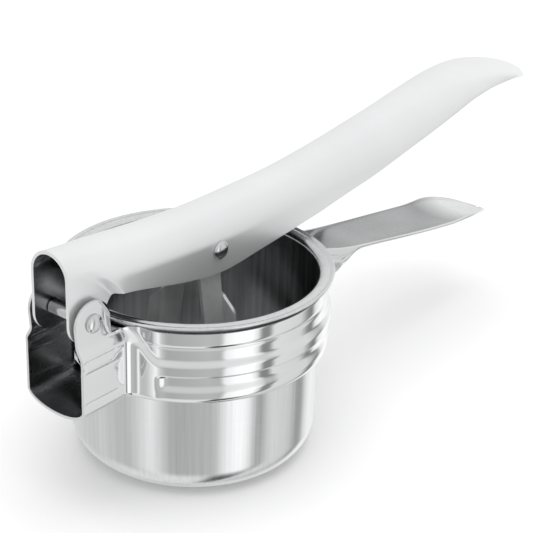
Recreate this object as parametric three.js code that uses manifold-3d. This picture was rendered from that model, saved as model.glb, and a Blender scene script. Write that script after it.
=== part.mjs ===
// Potato ricer of pressed stainless sheet. Millimetres, +Z up.
// The origin is the middle of the basket's flat floor, and +X runs along the handles to their tips.
import * as THREE from "three";
import { mergeVertices } from "three/addons/utils/BufferGeometryUtils.js";
import Module from "manifold-3d";

const wasm = await Module();
wasm.setup();

// Driving dimensions
const gap = 0.3; // clearance left between touching pieces
const around = 48; // facets round the large circles
const frameSheet = 1.2;
const leverSheet = 1.1;

const cup = { height: 63, wall: 40.5, rim: 45, sheet: 0.8, corner: 10, lip: 1.6 };
const floorHole = { radius: 1.5, pitch: 5.2, rings: 5 };

const collar = { radius: 43.2, top: 60.9, bottom: 36.4, seat: 41.4 };
// The collar's outside as [radius, z]: bottom roll, recess, rib, upright band, turned-in seat.
const collarProfile = [
  [41.2, 36.4], [42.8, 36.9], [43.6, 39.4], [43.1, 42.2], [43.1, 44.9], [44.4, 46], [44.5, 49],
  [43.3, 51.4], [43.2, 59.8], [42.6, 60.7], [41.4, 60.9],
];

const bracket = { halfWidth: 11.8, end: -61.3, top: 60.4, step: 55.6, inset: 1.5, spring: 39.2, sag: 4.9 };
const ear = { radius: 7, right: -47.4 };
const hinge = { x: -54.8, z: 66, pin: 2.0, head: 3.2, dome: 1.8, lobe: 7.4, collar: 4.5 };

const handle = { start: 41.6, tip: 170.5, tipLength: 26, halfWidth: 10.7, flare: 0.9 };
const handleEdge = [
  [41, 58], [52, 53.7], [60, 51.1], [68, 48.8], [84, 45.6], [132, 38], [148, 36.2], [160, 33.2],
  [170.5, 29.2],
];
const handleFloor = [
  [41, 36.6], [60, 38.4], [67, 39.4], [72, 41.6], [80, 43], [100, 40], [132, 34.8], [148, 32.6],
  [170.5, 28.2],
];

const lever = { tip: 188.7, tipLength: 34, neck: 7.84, body: 10.4, grip: 13.4 };
const leverTop = [
  [-63, 88.3], [-50, 87], [-20, 84.4], [0, 83.5], [20, 83.7], [42, 84.4], [66, 86.6], [91, 89.7],
  [118, 93.4], [139, 95.1], [154, 94.7], [166, 92.8], [178, 89.3], [188.7, 84.1],
];
const leverEdge = [
  [-44.4, 71.4], [-37, 70.2], [-15, 65.2], [2, 62.9], [20, 64.4], [48, 67.6], [64, 70.4], [80, 73.2],
  [98, 77.4], [112, 80.6], [127, 84.2], [139, 87], [155, 88.4], [170, 87], [188.7, 81.7],
];

const plunger = { x: 0.4, z: 71, pin: 1.8, head: 3.1, dome: 1.6, washer: 3.6, sleeve: 2.9 };
const leg = { x: -1, width: 9.2, sheet: 1.2, inner: 6, bend: 64.5, splay: 8, flange: 4.2, flangeTop: 55 };
const plate = { radius: 33.8, sheet: 1.2, z: 6, lip: 2.5, corner: 1.4 };
const footRivet = { radius: 1, head: 1.9, dome: 0.9, spread: 4.6, inset: 3.6 };

const steel = (name, color, roughness) =>
  new THREE.MeshStandardMaterial({ name, color, metalness: 1, roughness });
const polished = steel("polished_steel", 0xd6d8da, 0.12);
const brushed = steel("brushed_steel", 0xc9cbcd, 0.28);
const satin = steel("satin_steel", 0xcfd1d3, 0.32);
const plungerSteel = steel("plunger_steel", 0xb4b6b8, 0.4);
const rivetSteel = steel("rivet_steel", 0xb9bbbd, 0.25);

// ---- helpers ----

// A closed geometry as a manifold-3d solid, turned right side out.
function solidOf(geometry) {
  const bare = geometry.clone();
  bare.deleteAttribute("normal");
  bare.deleteAttribute("uv");
  const merged = mergeVertices(bare, 1e-4);
  const triVerts = new Uint32Array(merged.index.array);
  const build = () =>
    new wasm.Manifold(
      new wasm.Mesh({ numProp: 3, vertProperties: merged.attributes.position.array, triVerts }),
    );
  const made = build();
  if (made.volume() > 0) return made;
  for (let i = 0; i < triVerts.length; i += 3) {
    [triVerts[i + 1], triVerts[i + 2]] = [triVerts[i + 2], triVerts[i + 1]];
  }
  return build();
}

function geometryOf(solid) {
  const { numProp, numVert, vertProperties, triVerts } = solid.getMesh();
  const position = new Float32Array(numVert * 3);
  for (let i = 0; i < numVert; i++) {
    position.set(vertProperties.subarray(i * numProp, i * numProp + 3), i * 3);
  }
  return new THREE.BufferGeometry()
    .setAttribute("position", new THREE.BufferAttribute(position, 3))
    .setIndex(new THREE.BufferAttribute(triVerts, 1));
}

function piece(name, solid, material) {
  const geometry = geometryOf(solid);
  geometry.computeVertexNormals();
  const mesh = new THREE.Mesh(geometry, material);
  mesh.name = name;
  return mesh;
}

const union = (solids) => solids.reduce((sum, solid) => sum.add(solid));

// A height read from [x, height] points, on one smooth curve through them.
function along(points) {
  const slope = points.map((p, i) => {
    const [a, b] = [points[Math.max(i - 1, 0)], points[Math.min(i + 1, points.length - 1)]];
    return (b[1] - a[1]) / (b[0] - a[0]);
  });
  return (x) => {
    const last = points.length - 2;
    const i = Math.min(Math.max(points.findIndex((p) => p[0] > x) - 1, 0), last);
    const k = x >= points[last][0] ? last : i;
    const width = points[k + 1][0] - points[k][0];
    const t = (x - points[k][0]) / width;
    const [t2, t3] = [t * t, t * t * t];
    return (
      (2 * t3 - 3 * t2 + 1) * points[k][1] +
      (t3 - 2 * t2 + t) * width * slope[k] +
      (3 * t2 - 2 * t3) * points[k + 1][1] +
      (t3 - t2) * width * slope[k + 1]
    );
  };
}

const smooth = (x, from, to) => {
  const t = Math.min(Math.max((x - from) / (to - from), 0), 1);
  return t * t * (3 - 2 * t);
};

const range = (count) => Array.from({ length: count + 1 }, (_, i) => i / count);

// A closed profile of [radius, z] points turned about Z.
function turned(profile, segments = around) {
  const points = profile.map(([r, z]) => new THREE.Vector2(r, z));
  const geometry = new THREE.LatheGeometry(points, segments);
  return solidOf(geometry.rotateX(Math.PI / 2));
}

// Sheet metal: the solid between two equal grids of points, rows[j][i] = [x, y, z].
function sheetBetween(outer, inner) {
  const rows = outer.length;
  const columns = outer[0].length;
  const position = [...outer.flat(), ...inner.flat()].flat();
  const index = [];
  const at = (side, j, i) => side * rows * columns + j * columns + i;
  const quad = (a, b, c, d) => index.push(a, b, c, a, c, d);
  for (let j = 0; j < rows - 1; j++) {
    for (let i = 0; i < columns - 1; i++) {
      quad(at(0, j, i), at(0, j, i + 1), at(0, j + 1, i + 1), at(0, j + 1, i));
      quad(at(1, j, i), at(1, j + 1, i), at(1, j + 1, i + 1), at(1, j, i + 1));
    }
  }
  for (let j = 0; j < rows - 1; j++) {
    const end = columns - 1;
    quad(at(0, j, 0), at(0, j + 1, 0), at(1, j + 1, 0), at(1, j, 0));
    quad(at(0, j, end), at(1, j, end), at(1, j + 1, end), at(0, j + 1, end));
  }
  for (let i = 0; i < columns - 1; i++) {
    const end = rows - 1;
    quad(at(0, 0, i), at(1, 0, i), at(1, 0, i + 1), at(0, 0, i + 1));
    quad(at(0, end, i), at(0, end, i + 1), at(1, end, i + 1), at(1, end, i));
  }
  const geometry = new THREE.BufferGeometry();
  geometry.setAttribute("position", new THREE.Float32BufferAttribute(position, 3));
  return solidOf(geometry.setIndex(index));
}

// Half of a channel's section as [y, rise] from the edge to the crown, mirrored to the far edge:
// a straight wall up to the spring line, then a quarter ellipse.
function channelSection(halfWidth, depth) {
  const arch = Math.min(halfWidth, depth);
  const crown = range(6).map((t) => {
    const angle = (t * Math.PI) / 2;
    return [halfWidth * Math.cos(angle), depth - arch + arch * Math.sin(angle)];
  });
  const half = [[halfWidth, 0], ...crown];
  const far = half.slice(0, -1).reverse();
  return [...half.map(([y, h]) => [-y, h]), ...far];
}

// A pin along Y through (x, z), from y0 to y1.
function rod(x, z, radius, y0, y1) {
  const geometry = new THREE.CylinderGeometry(radius, radius, y1 - y0, 20);
  return solidOf(geometry.translate(x, (y0 + y1) / 2, z));
}

// A flat outline in X and Z, from y0 to y1.
function slab(shape, y0, y1) {
  const settings = { depth: y1 - y0, bevelEnabled: false, curveSegments: 10 };
  const geometry = new THREE.ExtrudeGeometry(shape, settings);
  return solidOf(geometry.rotateX(Math.PI / 2).translate(0, y1, 0));
}

// A domed rivet along Y: a shaft between the outer faces at +-face, and a dome on each.
function domedRivet(x, z, shaft, head, dome, face) {
  const steps = range(4).map((t) => (t * Math.PI) / 2);
  const top = steps.map((a) => [head * Math.cos(a), face + gap + dome * Math.sin(a)]);
  const half = [[shaft, face + gap], ...top];
  const profile = [...half.map(([r, y]) => [r, -y]).reverse(), ...half];
  const points = profile.map(([r, y]) => new THREE.Vector2(Math.max(r, 0), y));
  const geometry = new THREE.LatheGeometry(points, 20);
  return solidOf(geometry.translate(x, 0, z));
}

// A tube along Y, used for washers and spacers.
const tube = (x, z, outer, inner, y0, y1) =>
  rod(x, z, outer, y0, y1).subtract(rod(x, z, inner, y0 - 1, y1 + 1));

// ---- basket ----

function perforations() {
  const holes = [];
  for (let a = -floorHole.rings; a <= floorHole.rings; a++) {
    for (let b = -floorHole.rings; b <= floorHole.rings; b++) {
      if ((a === 0 && b === 0) || Math.abs(a + b) > floorHole.rings) continue;
      const geometry = new THREE.CylinderGeometry(floorHole.radius, floorHole.radius, 4, 6);
      geometry.rotateX(Math.PI / 2);
      const x = floorHole.pitch * (a + b / 2);
      const y = (floorHole.pitch * b * Math.sqrt(3)) / 2;
      holes.push(solidOf(geometry.translate(x, y, 0)));
    }
  }
  return union(holes);
}

function makeCup() {
  const { height, wall, rim, sheet, corner, lip } = cup;
  const quarter = range(4).map((t) => (t * Math.PI) / 2);
  const inside = wall - sheet;
  const outerCorner = quarter.map((a) => [
    wall - corner + corner * Math.sin(a),
    corner - corner * Math.cos(a),
  ]);
  const innerCorner = quarter
    .map((a) => [
      wall - corner + (corner - sheet) * Math.sin(a),
      corner - (corner - sheet) * Math.cos(a),
    ])
    .reverse();
  const bend = [
    [inside + lip + sheet, height],
    [inside + lip * 0.45, height - lip * 0.35],
    [inside, height - lip * 1.3],
  ];
  const under = height - sheet;
  const profile = [
    [0, 0],
    ...outerCorner,
    [wall, under - lip],
    [wall + lip * 0.3, under - lip * 0.3],
    [wall + lip, under],
    [rim, under],
    [rim, height],
    ...bend,
    ...innerCorner,
    [0, sheet],
  ];
  return piece("cup", turned(profile).subtract(perforations()), brushed);
}

// ---- lower frame ----

function collarRing() {
  const clear = cup.wall + gap + 0.1;
  const inside = ([r, z]) => [Math.max(r - frameSheet, clear), z];
  const wall = collarProfile.slice(1, -3).map(inside).reverse();
  const under = collar.top - frameSheet;
  const seat = [[collar.seat, under], [collar.radius - frameSheet, under - 0.1]];
  return turned([...collarProfile, ...seat, ...wall, [clear, collar.bottom], collarProfile[0]]);
}

// One upright wall from the free end, past the ear and round the fillet into the collar.
// side is -1 for the near wall and +1 for the far one; end is the wall's free X.
// levels lists [z, inset]: how far the wall is set in at each height.
function filletWall(side, end, halfWidth, fillet, levels) {
  const direction = Math.sign(end);
  const centreY = halfWidth + fillet;
  const centreX = Math.sqrt((collar.radius + fillet) ** 2 - centreY ** 2);
  const sweep = Math.atan2(centreX, centreY);
  const path = [[Math.abs(end), halfWidth, 0], ...range(6).map((t) => {
    const a = t * sweep;
    return [centreX - fillet * Math.sin(a), centreY - fillet * Math.cos(a), a];
  })];
  const face = (offset) =>
    levels.map(([z, inset]) =>
      path.map(([x, y, a]) => [
        direction * (x - (offset + inset) * Math.sin(a)),
        side * (y - (offset + inset) * Math.cos(a)),
        z,
      ]),
    );
  return sheetBetween(face(0), face(frameSheet));
}

function earPlate(side) {
  const { x, z } = hinge;
  const shape = new THREE.Shape();
  shape.moveTo(bracket.end, bracket.top - 1);
  shape.absarc(x, z, ear.radius, Math.PI, -0.1, true);
  shape.lineTo(ear.right, bracket.top - 1);
  const outer = bracket.halfWidth - bracket.inset;
  const [y0, y1] = [outer - frameSheet, outer];
  return side > 0 ? slab(shape, y0, y1) : slab(shape, -y1, -y0);
}

// The bracket's curved floor: a shallow elliptical sheet under the two walls.
function bracketFloor() {
  const { end, halfWidth, spring, sag } = bracket;
  const section = (w, drop, y0) =>
    range(12).map((t) => {
      const a = Math.PI * t;
      return [-w * Math.cos(a), y0 - drop * Math.sin(a)];
    });
  const rows = (w, drop) =>
    [end, -cup.wall + 4].map((x) => section(w, drop, spring).map(([y, z]) => [x, y, z]));
  return sheetBetween(rows(halfWidth, sag), rows(halfWidth - frameSheet, sag - frameSheet));
}

// The trough handle: a deep channel at the collar that turns shallow, with a rounded tip.
function handleTrough() {
  const edge = along(handleEdge);
  const bottom = along(handleFloor);
  const { start, tip, tipLength, halfWidth, flare } = handle;
  const stations = [
    ...range(12).slice(0, -1).map((t) => start + t * (tip - tipLength - start)),
    ...range(7).map((t) => tip - tipLength + tipLength * Math.sin((t * Math.PI) / 2)),
  ];
  const widthAt = (x) => {
    const full = halfWidth + flare * smooth(x, 95, 145);
    const past = Math.max(x - (tip - tipLength), 0) / (tipLength + 0.6);
    return full * Math.sqrt(1 - past * past);
  };
  const rows = (offset) =>
    stations.map((x) => {
      const w = widthAt(x) - offset;
      const floor = bottom(x) + offset;
      const depth = Math.max(edge(x) - floor, 0.4);
      return channelSection(w, depth).map(([y, h]) => [x, y, floor + depth - h]);
    });
  return sheetBetween(rows(0), rows(frameSheet));
}

function makeLowerFrame() {
  const { halfWidth, end, step, inset, spring, top } = bracket;
  const bracketLevels = [[spring, 0], [step, 0], [top - 1, inset], [top, inset]];
  const walls = [-1, 1].flatMap((side) => [
    filletWall(side, end, halfWidth, 5, bracketLevels),
    filletWall(side, handle.start + 8, handle.halfWidth, 4, [[44, 0], [54, 0]]),
    earPlate(side),
  ]);
  const clearance = turned(
    [[0, collar.bottom - 10], [cup.wall + gap, collar.bottom - 10], [cup.wall + gap, 70], [0, 70]],
  );
  const behind = collar.radius - frameSheet;
  const cupSpace = turned([[0, 40], [behind, 40], [behind, 70], [0, 70]]);
  const bores = rod(hinge.x, hinge.z, hinge.pin + gap, -20, 20);
  const outside = union([...walls, bracketFloor(), handleTrough()]).subtract(cupSpace);
  const solid = outside.add(collarRing()).subtract(clearance).subtract(bores);
  return piece("lower_frame", solid, polished);
}

// ---- upper lever ----

function leverWidth(x) {
  const { neck, body, grip, tip, tipLength } = lever;
  const full = neck + (body - neck) * smooth(x, -49, -36) + (grip - body) * smooth(x, 30, 140);
  const past = Math.max(x - (tip - tipLength), 0) / (tipLength + 0.7);
  return full * Math.sqrt(1 - past * past);
}

// The lower edge: round the hinge pin, up a step behind the ears, then along the lever.
function leverEdgeAt(x) {
  const { x: px, z: pz, lobe } = hinge;
  const dx = x - px;
  if (dx <= lobe) return pz - Math.sqrt(Math.max(lobe * lobe - dx * dx, 0));
  const first = leverEdge[0];
  if (x < first[0]) return pz + (first[1] - pz) * smooth(x, px + lobe, first[0]);
  return along(leverEdge)(x);
}

function makeLever() {
  const top = along(leverTop);
  const { tip, tipLength } = lever;
  const { x: px, lobe } = hinge;
  const stations = [
    ...range(10).map((t) => px - lobe * Math.cos(Math.PI * t)),
    ...[-46.7, -45.9, -44.9, -42, -39, -36, -28, -15],
    ...range(12).slice(0, -1).map((t) => 2 + t * (tip - tipLength - 2)),
    ...range(8).map((t) => tip - tipLength + tipLength * Math.sin((t * Math.PI) / 2)),
  ];
  const rows = (offset) =>
    stations.map((x) => {
      const crown = top(x) - offset;
      const low = leverEdgeAt(x);
      const depth = Math.max(crown - low, 0.5);
      return channelSection(leverWidth(x) - offset, depth).map(([y, h]) => [x, y, crown - depth + h]);
    });
  const bores = rod(hinge.x, hinge.z, hinge.pin + gap, -20, 20).add(
    rod(plunger.x, plunger.z, plunger.pin + gap, -20, 20),
  );
  return piece("upper_lever", sheetBetween(rows(0), rows(leverSheet)).subtract(bores), satin);
}

// ---- hinge and plunger pins ----

function hingeParts() {
  const { x, z, pin } = hinge;
  const bore = pin + gap;
  const earOuter = bracket.halfWidth - bracket.inset;
  const earInner = earOuter - frameSheet;
  const leverInner = lever.neck - leverSheet;
  const washer = (name, side) => {
    const ends = [side * (lever.neck + gap), side * (earInner - gap)].sort((a, b) => a - b);
    return piece(name, tube(x, z, hinge.collar, bore, ...ends), rivetSteel);
  };
  return [
    piece("hinge_rivet", domedRivet(x, z, pin, hinge.head, hinge.dome, earOuter), rivetSteel),
    piece("hinge_spacer", tube(x, z, 3, bore, gap - leverInner, leverInner - gap), rivetSteel),
    washer("hinge_washer_near", -1),
    washer("hinge_washer_far", 1),
  ];
}

function plungerPinParts() {
  const { x, z, pin } = plunger;
  const bore = pin + gap;
  const face = leverWidth(x);
  const legOuter = leg.inner + leg.sheet;
  const washer = (name, side) => {
    const ends = [side * (legOuter + gap), side * (face - leverSheet - gap)].sort((a, b) => a - b);
    return piece(name, tube(x, z, plunger.washer, bore, ...ends), rivetSteel);
  };
  const sleeve = tube(x, z, plunger.sleeve, bore, gap - leg.inner, leg.inner - gap);
  return [
    piece("plunger_rivet", domedRivet(x, z, pin, plunger.head, plunger.dome, face), rivetSteel),
    piece("plunger_sleeve", sleeve, rivetSteel),
    washer("plunger_washer_near", -1),
    washer("plunger_washer_far", 1),
  ];
}

// ---- plunger ----

const footTop = () => plate.z + plate.sheet + gap + leg.sheet;

// One leg: a splayed strip with an outward side flange and an inward foot.
// It is shaped on the near side; the far leg is the same pressing turned half round.
function plungerLeg(name, side) {
  const { x, width, sheet, inner, bend, splay, flange, flangeTop } = leg;
  const slope = Math.tan(THREE.MathUtils.degToRad(splay));
  const foot = footTop();
  const reach = (z) => inner + Math.max(bend - z, 0) * slope;
  const crown = plunger.z + width / 2;
  const strip = new THREE.Shape();
  strip.moveTo(inner, crown);
  strip.lineTo(inner + sheet, crown);
  strip.lineTo(inner + sheet, bend);
  strip.lineTo(reach(foot - sheet) + sheet, foot - sheet);
  strip.lineTo(footRivet.inset, foot - sheet);
  strip.lineTo(footRivet.inset, foot);
  strip.lineTo(reach(foot), foot);
  strip.lineTo(inner, bend);
  const wing = new THREE.Shape();
  wing.moveTo(reach(flangeTop + 4) + sheet / 2, flangeTop + 4);
  wing.lineTo(reach(flangeTop) + flange, flangeTop);
  wing.lineTo(reach(foot) + flange, foot);
  wing.lineTo(reach(foot) + sheet / 2, foot);
  // The outline's first coordinate points away from the middle plane, its second up.
  const swept = (shape, x0, x1) => {
    const geometry = new THREE.ExtrudeGeometry(shape, { depth: x1 - x0, bevelEnabled: false });
    geometry.rotateX(Math.PI / 2).rotateZ(Math.PI / 2);
    return solidOf(geometry.translate(x0, 0, 0));
  };
  const outline = new THREE.Shape();
  outline.moveTo(x - width / 2, 0);
  outline.lineTo(x - width / 2, plunger.z);
  outline.absarc(x, plunger.z, width / 2, Math.PI, 0, true);
  outline.lineTo(x + width / 2, 0);
  const wingX = side > 0 ? [x - width / 2, x - width / 2 + sheet] : [x + width / 2 - sheet, x + width / 2];
  const web = swept(strip, x - width / 2, x + width / 2).intersect(slab(outline, 0, 40));
  const oneSide = web.add(swept(wing, ...wingX));
  const placed = side > 0 ? oneSide : oneSide.mirror([0, 1, 0]);
  const bore = rod(plunger.x, plunger.z, plunger.pin + gap, -20, 20);
  const rivetHoles = union(footRivetPlaces(side).map(([rx, ry]) => footBore(rx, ry)));
  return piece(name, placed.subtract(bore).subtract(rivetHoles), plungerSteel);
}

const footRivetPlaces = (side) =>
  [-1, 1].map((k) => [leg.x + (k * footRivet.spread) / 2, side * (footRivet.inset + 4)]);

function footBore(x, y) {
  const radius = footRivet.radius + gap;
  const geometry = new THREE.CylinderGeometry(radius, radius, 20, 12);
  return solidOf(geometry.rotateX(Math.PI / 2).translate(x, y, 10));
}

function pressPlate() {
  const { radius, sheet, z, lip, corner } = plate;
  const quarter = range(3).map((t) => (t * Math.PI) / 2);
  const outer = quarter.map((a) => [
    radius - corner + corner * Math.sin(a),
    z + corner - corner * Math.cos(a),
  ]);
  const profile = [
    [0, z],
    ...outer,
    [radius, z + lip],
    [radius - sheet, z + lip],
    [radius - sheet, z + corner],
    [radius - corner, z + sheet],
    [0, z + sheet],
  ];
  const holes = [-1, 1].flatMap(footRivetPlaces).map(([x, y]) => footBore(x, y));
  const disc = turned(profile).translate([leg.x, 0, 0]);
  return piece("press_plate", disc.subtract(union(holes)), plungerSteel);
}

// A small rivet through a foot and the plate: a dome above and a thin set head below.
function makeFootRivet(name, x, y) {
  const { radius, head, dome } = footRivet;
  const top = footTop() + gap;
  const under = plate.z - gap;
  const arc = range(4).map((t) => (t * Math.PI) / 2);
  const profile = [
    [0, under - 0.5],
    [head, under - 0.5],
    [head, under],
    [radius, under],
    [radius, top],
    ...arc.map((a) => [head * Math.cos(a), top + dome * Math.sin(a)]),
  ].map(([r, z]) => [Math.max(r, 0), z]);
  return piece(name, turned(profile, 12).translate([x, y, 0]), rivetSteel);
}

const footRivets = () =>
  [["near", -1], ["far", 1]].flatMap(([word, side]) =>
    footRivetPlaces(side).map(([x, y], i) => makeFootRivet(`foot_rivet_${word}_${i + 1}`, x, y)),
  );

const ricer = new THREE.Group();
ricer.add(
  makeLowerFrame(),
  makeCup(),
  makeLever(),
  ...hingeParts(),
  ...plungerPinParts(),
  plungerLeg("plunger_leg_near", -1),
  plungerLeg("plunger_leg_far", 1),
  pressPlate(),
  ...footRivets(),
);

export default ricer;
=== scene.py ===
import math

import bmesh
import bpy
import numpy as np
from mathutils import Matrix, Vector


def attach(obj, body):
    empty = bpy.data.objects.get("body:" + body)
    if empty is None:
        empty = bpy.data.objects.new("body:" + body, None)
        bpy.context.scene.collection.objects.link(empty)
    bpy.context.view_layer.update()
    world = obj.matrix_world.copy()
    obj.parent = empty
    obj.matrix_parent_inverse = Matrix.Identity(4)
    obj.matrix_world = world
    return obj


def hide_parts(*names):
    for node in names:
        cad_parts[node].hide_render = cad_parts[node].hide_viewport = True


# Potato ricer of pressed stainless sheet. Lengths in the dictionaries are millimetres, the scene is metres.
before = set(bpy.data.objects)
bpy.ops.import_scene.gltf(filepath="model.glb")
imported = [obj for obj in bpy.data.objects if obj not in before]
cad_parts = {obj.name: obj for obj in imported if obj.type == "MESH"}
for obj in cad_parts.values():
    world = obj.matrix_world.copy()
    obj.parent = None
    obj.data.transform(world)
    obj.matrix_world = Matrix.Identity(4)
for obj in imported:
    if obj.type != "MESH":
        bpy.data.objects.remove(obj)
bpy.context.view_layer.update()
mm = 0.001
finish = dict(smoothAngle=40, bevelAngle=55, bevelSegments=3, mergeWithin=0.002)


# 0 below low, 1 above high, and 3t^2 - 2t^3 between
def smoothstep(x, low, high):
    t = np.clip((np.asarray(x, float) - low) / (high - low), 0, 1)
    return t * t * (3 - 2 * t)


# A smooth curve through [x, height] points: cubic Hermite pieces with the slopes of the neighbours' chords
def through(points):
    px, py = np.array(points, float).T
    before, after = np.r_[px[0], px[:-1]], np.r_[px[1:], px[-1]]
    hBefore, hAfter = np.r_[py[0], py[:-1]], np.r_[py[1:], py[-1]]
    slope = (hAfter - hBefore) / (after - before)

    def height(x):
        x = np.asarray(x, float)
        k = np.clip(np.searchsorted(px, x, side="right") - 1, 0, len(px) - 2)
        width = px[k + 1] - px[k]
        t = (x - px[k]) / width
        return (
            (2 * t**3 - 3 * t**2 + 1) * py[k] + (t**3 - 2 * t**2 + t) * width * slope[k]
            + (3 * t**2 - 2 * t**3) * py[k + 1] + (t**3 - t**2) * width * slope[k + 1]
        )

    return height


# Points of a circular arc: centre + radius * (cos, sin), angles in degrees
def arc(centre, radius, start, end, steps):
    a = np.radians(np.linspace(start, end, steps))
    return np.stack([centre[0] + radius * np.cos(a), centre[1] + radius * np.sin(a)], -1)


# Quads of a grid whose point (j, i) is number j * columns + i; closed joins the last column to the first
def gridFaces(rows, columns, closed=False):
    wide = columns if closed else columns - 1
    j, i = np.meshgrid(np.arange(rows - 1), np.arange(wide), indexing="ij")
    here, beside = j * columns + i, j * columns + (i + 1) % columns
    return np.stack([here, beside, beside + columns, here + columns], -1).reshape(-1, 4)


# A mesh piece in place, from an (n, 3) array of points in millimetres and an array of face rows
def makePiece(name, points, faces, body, material, replaces=()):
    mesh = bpy.data.meshes.new(name)
    mesh.from_pydata((np.asarray(points, float) * mm).tolist(), [], faces.tolist())
    mesh.validate()
    mesh.materials.append(material)
    piece = bpy.data.objects.new(name, mesh)
    bpy.context.scene.collection.objects.link(piece)
    smoothShade(piece)
    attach(piece, body)
    if replaces:
        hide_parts(*replaces)
    return piece


# Smooth shading, with edges sharper than the smooth angle kept
def smoothShade(piece):
    piece.data.shade_smooth()
    piece.data.set_sharp_from_angle(angle=math.radians(finish["smoothAngle"]))


# Merges doubled points, as at a pole, and turns every face outwards
def mergeClose(piece):
    work = bmesh.new()
    work.from_mesh(piece.data)
    within = finish["mergeWithin"] * mm
    bmesh.ops.remove_doubles(work, verts=work.verts, dist=within)
    bmesh.ops.dissolve_degenerate(work, edges=work.edges, dist=within / 2)
    bmesh.ops.recalc_face_normals(work, faces=work.faces)
    work.to_mesh(piece.data)
    work.free()
    smoothShade(piece)


# Bakes a piece's modifiers into its mesh
def applyModifiers(piece):
    graph = bpy.context.evaluated_depsgraph_get()
    baked = bpy.data.meshes.new_from_object(piece.evaluated_get(graph), depsgraph=graph)
    piece.modifiers.clear()
    piece.data = baked
    smoothShade(piece)


# A sheet gets its thickness behind its outer face, and its free edges are rounded
def thicken(piece, thickness, edgeRadius, insideMaterial=None):
    wall = piece.modifiers.new("wall", "SOLIDIFY")
    wall.thickness = thickness * mm
    wall.offset = -1
    wall.use_quality_normals = True
    # the back faces take the inside material, the darker steel that is painted shade
    if insideMaterial:
        addMaterial(piece, insideMaterial)
        wall.material_offset = 1
    edge = piece.modifiers.new("edge", "BEVEL")
    edge.width = edgeRadius * mm
    edge.segments = finish["bevelSegments"]
    edge.limit_method = "ANGLE"
    edge.angle_limit = math.radians(finish["bevelAngle"])
    edge.use_clamp_overlap = True
    applyModifiers(piece)


def addMaterial(piece, material):
    if material.name not in piece.data.materials:
        piece.data.materials.append(material)


# The chosen faces, a row of true and false, take a second material
def setSecondMaterial(piece, chosen, material):
    addMaterial(piece, material)
    piece.data.polygons.foreach_set("material_index", chosen.astype(np.int32))
    piece.data.update()


# One row for each face: its "normal" or its "center"
def faceTable(piece, what):
    table = np.empty(3 * len(piece.data.polygons))
    piece.data.polygons.foreach_get(what, table)
    return table.reshape(-1, 3)


# An open sheet is turned over if its highest face looks the wrong way
def turnOver(piece, direction):
    highest = faceTable(piece, "center")[:, 2].argmax()
    if faceTable(piece, "normal")[highest] @ np.array(direction, float) < 0:
        piece.data.flip_normals()


# A profile of [radius, height] rows turned round an upright axis, or round one along Y where axis is y:
# x = radius * cos(angle), y = radius * sin(angle), z = height. A closed profile makes a ring, and an open
# one starts and ends on the axis.
def makeTurned(name, profile, segments, body, slot, material, replaces=(), axis="z", centre=(0, 0, 0),
               closed=False):
    profile = np.asarray(profile, float)
    angle = np.linspace(0, 2 * np.pi, segments, endpoint=False)
    height = np.repeat(profile[:, 1:], segments, 1)
    x, y = profile[:, :1] * np.cos(angle), profile[:, :1] * np.sin(angle)
    points = np.stack([x, y, height] if axis == "z" else [x, height, -y], -1).reshape(-1, 3)
    faces = gridFaces(len(profile), segments, closed=True)
    if closed:
        first = np.arange(segments)
        last = first + (len(profile) - 1) * segments
        faces = np.vstack([faces, np.stack([last, np.roll(last, -1), np.roll(first, -1), first], -1)])
    piece = makePiece(name, points + np.array(centre, float), faces, body, material, replaces)
    mergeClose(piece)
    return piece


# Each steel: base colour from dark to light, roughness range, noise scales along x, y and z for the soft
# smears (blotchStretch) and the finishing lines (lineStretch), and how much the lines share the roughness.
# rings runs the lines round the Z axis, and the inside's last entry is where along X (metres) its painted
# shade turns to painted light.
steels = dict(
    polished=dict(
        dark=(0.74, 0.745, 0.75), light=(0.82, 0.825, 0.83), roughness=(0.05, 0.12), blotchScale=28,
        lineStretch=(60, 60, 2400), lineShare=0.35, bump=0.1, bumpDepth=0.01,
    ),
    # inside: the back faces of the pressed sheets, rougher, with the base colour painted dark as painted
    # shade; towards the tips it is painted light
    inside=dict(
        dark=(0.34, 0.345, 0.35), light=(0.46, 0.465, 0.47), roughness=(0.18, 0.34), blotchScale=40,
        lineStretch=(200, 900, 900), lineShare=0.4, bump=0.2, bumpDepth=0.015, paintedLightFrom=(0.138, 0.154),
    ),
    brushed=dict(
        dark=(0.70, 0.705, 0.71), light=(0.775, 0.78, 0.785), roughness=(0.17, 0.23), blotchScale=1,
        blotchStretch=(900, 900, 22), lineStretch=(3000, 3000, 3000), rings=True, lineShare=0.6,
        bump=0.3, bumpDepth=0.02, anisotropic=0.4,
    ),
    # inner: the basket's inside, with the base colour painted darker as painted shade
    inner=dict(
        dark=(0.36, 0.365, 0.37), light=(0.56, 0.565, 0.57), roughness=(0.14, 0.26), blotchScale=1,
        blotchStretch=(700, 700, 22), lineStretch=(3000, 3000, 3000), rings=True, lineShare=0.5,
        bump=0.4, bumpDepth=0.02,
    ),
    satin=dict(
        dark=(0.81, 0.815, 0.82), light=(0.87, 0.875, 0.88), roughness=(0.3, 0.4), blotchScale=20,
        lineStretch=(70, 2200, 2200), lineShare=0.5, bump=0.2, bumpDepth=0.015, metallic=0.62,
    ),
    plunger=dict(
        dark=(0.6, 0.605, 0.61), light=(0.8, 0.805, 0.81), roughness=(0.25, 0.42), blotchScale=90,
        lineStretch=(500, 500, 60), lineShare=0.3, bump=0.12, bumpDepth=0.02, metallic=0.55,
    ),
    rivet=dict(
        dark=(0.6, 0.605, 0.61), light=(0.74, 0.745, 0.75), roughness=(0.1, 0.24), blotchScale=160,
        lineStretch=(900, 900, 900), lineShare=0.4, bump=0.2, bumpDepth=0.02,
    ),
)
# the light grey in it is painted light, used on the inside towards the tips
smear = dict(low=0.3, high=0.7, bright=(0.85, 0.855, 0.86))  # the part of the noise's range that is used


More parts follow.
